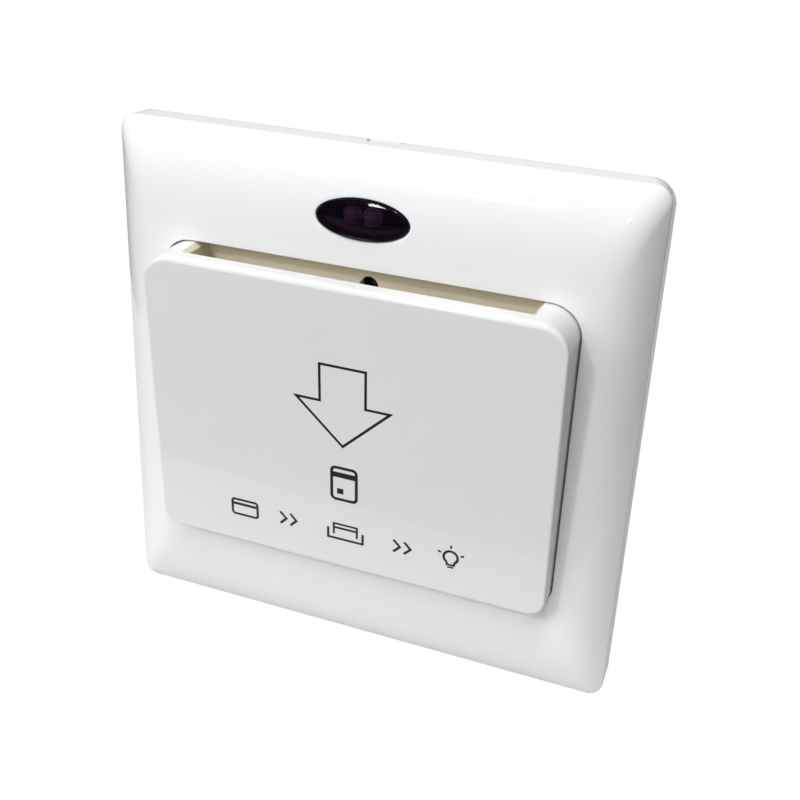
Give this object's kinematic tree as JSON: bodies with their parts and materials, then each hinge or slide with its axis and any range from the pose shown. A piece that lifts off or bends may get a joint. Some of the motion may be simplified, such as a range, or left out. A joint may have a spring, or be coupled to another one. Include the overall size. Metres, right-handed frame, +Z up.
{
  "type": "hotel key card switch",
  "caption": "Square wall switch with a leaning card pocket, smoked oval indicator and snap-off front; an inserted card presses a sprung lever and microswitch that drive a relay.",
  "frame": {"origin": "centre of the square plate on the wall plane, midway between the two wall screws", "axes": "+X to the viewer's right, +Y into the wall, +Z up; the front of the switch faces -Y"},
  "size_m": [0.086, 0.0461, 0.086],
  "materials": {
    "frame_white": "glossy moulded plastic",
    "pocket_cream": "glossy moulded plastic",
    "smoked_lens": "polished smoked plastic",
    "base_plastic": "fine moulded texture",
    "housing_plastic": "spark-eroded moulded texture",
    "zinc_screw": "zinc plated",
    "circuit_board": "solder mask",
    "red_lamp": "clear tinted resin",
    "green_lamp": "clear tinted resin",
    "black_resin": "dark resin",
    "black_plastic": "moulded",
    "natural_plastic": "moulded, unpigmented",
    "red_plastic": "moulded",
    "spring_steel": "drawn wire and strip",
    "contact_brass": "stamped strip",
    "soft_iron": "nickel plated",
    "relay_plastic": "moulded",
    "enamelled_copper": "enamelled wire",
    "terminal_plastic": "moulded",
    "plated_cage": "nickel plated",
    "capacitor_yellow": "potted box",
    "capacitor_sleeve": "shrink sleeve",
    "varistor_coat": "dipped coat",
    "resistor_coat": "lacquer"
  },
  "bodies": {
    "base": {"base_plate": "base_plastic", "rear_housing": "housing_plastic", "housing_screws": "zinc_screw", "main_pcb": "circuit_board", "pcb_screws": "zinc_screw", "led_red": "red_lamp", "led_green": "green_lamp", "card_sensor": "black_resin", "led_spacers": "black_plastic", "switch_bracket": "natural_plastic", "bracket_screws": "zinc_screw", "lever_pin": "spring_steel", "lever_clip": "spring_steel", "lever_spring": "spring_steel", "microswitch_case": "black_plastic", "microswitch_cover": "black_plastic", "microswitch_blade": "contact_brass", "microswitch_terminals": "contact_brass", "microswitch_screws": "zinc_screw", "relay_base": "relay_plastic", "relay_cover": "relay_plastic", "relay_yoke": "soft_iron", "relay_core": "soft_iron", "relay_bobbin": "natural_plastic", "relay_winding": "enamelled_copper", "relay_fixed_contact": "contact_brass", "relay_return_spring": "spring_steel", "terminal_block": "terminal_plastic", "terminal_cages": "plated_cage", "terminal_screws": "zinc_screw", "film_capacitor": "capacitor_yellow", "electrolytic_capacitor": "capacitor_sleeve", "varistor": "varistor_coat", "diodes": "black_resin", "resistors": "resistor_coat", "controller_chip": "black_resin"},
    "front_panel": {"front_frame": "frame_white", "pocket_cover": "pocket_cream", "pocket_back": "pocket_cream", "pocket_screws": "zinc_screw", "indicator_lens": "smoked_lens"},
    "card_lever": {"card_lever": "natural_plastic"},
    "switch_button": {"microswitch_button": "red_plastic"},
    "relay_armature": {"relay_armature": "soft_iron", "relay_contact_spring": "contact_brass"}
  },
  "joints": [
    {"name": "front_panel_pull", "type": "slide", "parent": "base", "child": "front_panel", "axis": [0, -1, 0], "range_m": [0, 0.03]},
    {"name": "card_lever_press", "type": "hinge", "parent": "base", "child": "card_lever", "pos_m": [0.016, 0, -0.013], "axis": [0, -1, 0], "range_deg": [0, 14], "stiffness_Nm_per_rad": 0.02, "springref_deg": -11.46, "deforming": ["lever_spring"]},
    {"name": "switch_button_travel", "type": "slide", "parent": "base", "child": "switch_button", "axis": [0, 0, -1], "range_m": [0, 0.0016]},
    {"name": "relay_armature_pull", "type": "hinge", "parent": "base", "child": "relay_armature", "pos_m": [-0.0136, 0.02425, 0.0045], "axis": [0, 0, -1], "range_deg": [0, 4.5], "stiffness_Nm_per_rad": 0.03, "springref_deg": -8.59, "deforming": ["relay_return_spring"]}
  ],
  "couplings": [
    {"joint": "switch_button_travel", "follows": "card_lever_press", "m_per_rad": 0.0063}
  ]
}
